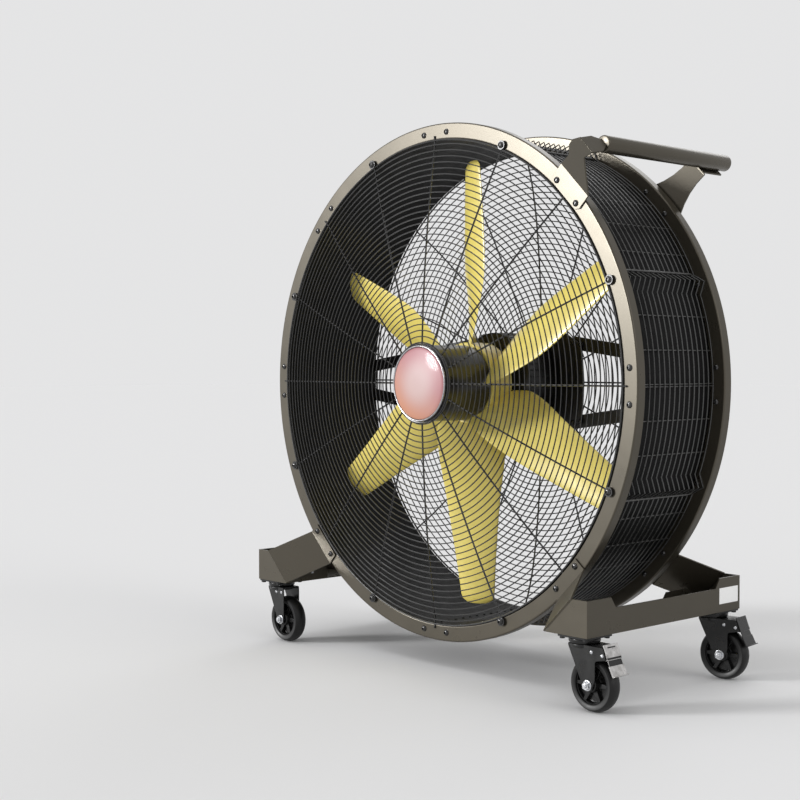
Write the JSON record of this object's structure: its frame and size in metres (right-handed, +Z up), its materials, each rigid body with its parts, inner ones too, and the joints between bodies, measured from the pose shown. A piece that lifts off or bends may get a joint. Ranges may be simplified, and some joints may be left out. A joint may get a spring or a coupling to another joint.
{
  "type": "drum fan",
  "caption": "Wheeled industrial drum fan: wire-caged steel drum with a yellow impeller, a rear motor, a side push handle and a sheet-metal base on swivel casters.",
  "frame": {"origin": "on the floor, below the middle of the drum", "axes": "+Z up, -Y the way the air leaves and the badge faces, +X towards the push handle's side"},
  "size_m": [1.3165, 0.5826, 1.368],
  "materials": {
    "gunmetal_paint": "satin powder coat",
    "black_wire": "semi-gloss coating",
    "nose_black": "gloss",
    "badge_red": "gloss, shaded from red to orange",
    "badge_silver": "bright",
    "blade_yellow": "satin gloss",
    "motor_black": "gloss",
    "core_steel": "machined",
    "zinc": "zinc plated",
    "pedal_zinc": "zinc plated",
    "caster_black": "gloss",
    "caster_wheel": "satin"
  },
  "bodies": {
    "frame": {"front_ring": "gunmetal_paint", "rear_ring": "gunmetal_paint", "front_guard": "black_wire", "rear_guard": "black_wire", "drum_shell": "black_wire", "side_cage_1": "black_wire", "side_cage_2": "black_wire", "side_cage_3": "black_wire", "side_cage_4": "black_wire", "nose_sleeve": "nose_black", "badge": "badge_red", "badge_trim": "badge_silver", "motor_shield": "motor_black", "motor_housing": "motor_black", "terminal_box": "motor_black", "cable_gland": "motor_black", "motor_stator": "core_steel", "bearing_front": "core_steel", "bearing_rear": "core_steel", "motor_plate": "motor_black", "motor_arm_upper_right": "motor_black", "motor_arm_lower_right": "motor_black", "motor_arm_upper_left": "motor_black", "motor_arm_lower_left": "motor_black", "handle_tube": "gunmetal_paint", "handle_bracket_front": "gunmetal_paint", "handle_bracket_rear": "gunmetal_paint", "base_rail_right": "gunmetal_paint", "base_rail_left": "gunmetal_paint", "leg_front_right": "gunmetal_paint", "leg_rear_right": "gunmetal_paint", "leg_front_left": "gunmetal_paint", "leg_rear_left": "gunmetal_paint", "caster_mount_front_right": "caster_black", "caster_mount_rear_right": "caster_black", "caster_mount_front_left": "caster_black", "caster_mount_rear_left": "caster_black"},
    "impeller": {"impeller_hub": "blade_yellow", "blade_1": "blade_yellow", "blade_2": "blade_yellow", "blade_3": "blade_yellow", "blade_4": "blade_yellow", "blade_5": "blade_yellow", "blade_6": "blade_yellow", "motor_rotor": "core_steel"},
    "swivel_front_right": {"caster_fork_front_right": "caster_black", "caster_axle_front_right": "zinc"},
    "wheel_front_right": {"caster_wheel_front_right": "caster_wheel"},
    "brake_front_right": {"brake_pedal_front_right": "pedal_zinc"},
    "swivel_rear_right": {"caster_fork_rear_right": "caster_black", "caster_axle_rear_right": "zinc"},
    "wheel_rear_right": {"caster_wheel_rear_right": "caster_wheel"},
    "brake_rear_right": {"brake_pedal_rear_right": "caster_black"},
    "swivel_front_left": {"caster_fork_front_left": "caster_black", "caster_axle_front_left": "zinc"},
    "wheel_front_left": {"caster_wheel_front_left": "caster_wheel"},
    "swivel_rear_left": {"caster_fork_rear_left": "caster_black", "caster_axle_rear_left": "zinc"},
    "wheel_rear_left": {"caster_wheel_rear_left": "caster_wheel"}
  },
  "joints": [
    {"name": "impeller_spin", "type": "hinge", "parent": "frame", "child": "impeller", "pos_m": [0, -0.035, 0.718], "axis": [0, 1, 0], "continuous": true},
    {"name": "swivel_turn_front_right", "type": "hinge", "parent": "frame", "child": "swivel_front_right", "pos_m": [0.555, -0.239, 0.15], "axis": [0, 0, 1], "continuous": true},
    {"name": "wheel_roll_front_right", "type": "hinge", "parent": "swivel_front_right", "child": "wheel_front_right", "pos_m": [0.586, -0.239, 0.0625], "axis": [0, 1, 0], "continuous": true},
    {"name": "brake_tilt_front_right", "type": "hinge", "parent": "swivel_front_right", "child": "brake_front_right", "pos_m": [0.6383, -0.239, 0.1245], "axis": [0, 1, 0], "range_deg": [0, 8]},
    {"name": "swivel_turn_rear_right", "type": "hinge", "parent": "frame", "child": "swivel_rear_right", "pos_m": [0.555, 0.239, 0.15], "axis": [0, 0, 1], "continuous": true},
    {"name": "wheel_roll_rear_right", "type": "hinge", "parent": "swivel_rear_right", "child": "wheel_rear_right", "pos_m": [0.5857, 0.24331, 0.0625], "axis": [-0.1392, 0.9903, 0], "continuous": true},
    {"name": "brake_tilt_rear_right", "type": "hinge", "parent": "swivel_rear_right", "child": "brake_rear_right", "pos_m": [0.63749, 0.25059, 0.1245], "axis": [-0.1392, 0.9903, 0], "range_deg": [0, 8]},
    {"name": "swivel_turn_front_left", "type": "hinge", "parent": "frame", "child": "swivel_front_left", "pos_m": [-0.555, -0.239, 0.15], "axis": [0, 0, 1], "continuous": true},
    {"name": "wheel_roll_front_left", "type": "hinge", "parent": "swivel_front_left", "child": "wheel_front_left", "pos_m": [-0.52401, -0.23954, 0.0625], "axis": [0.0175, 0.9998, 0], "continuous": true},
    {"name": "swivel_turn_rear_left", "type": "hinge", "parent": "frame", "child": "swivel_rear_left", "pos_m": [-0.555, 0.239, 0.15], "axis": [0, 0, 1], "continuous": true},
    {"name": "wheel_roll_rear_left", "type": "hinge", "parent": "swivel_rear_left", "child": "wheel_rear_left", "pos_m": [-0.52408, 0.24116, 0.0625], "axis": [-0.0698, 0.9976, 0], "continuous": true}
  ]
}
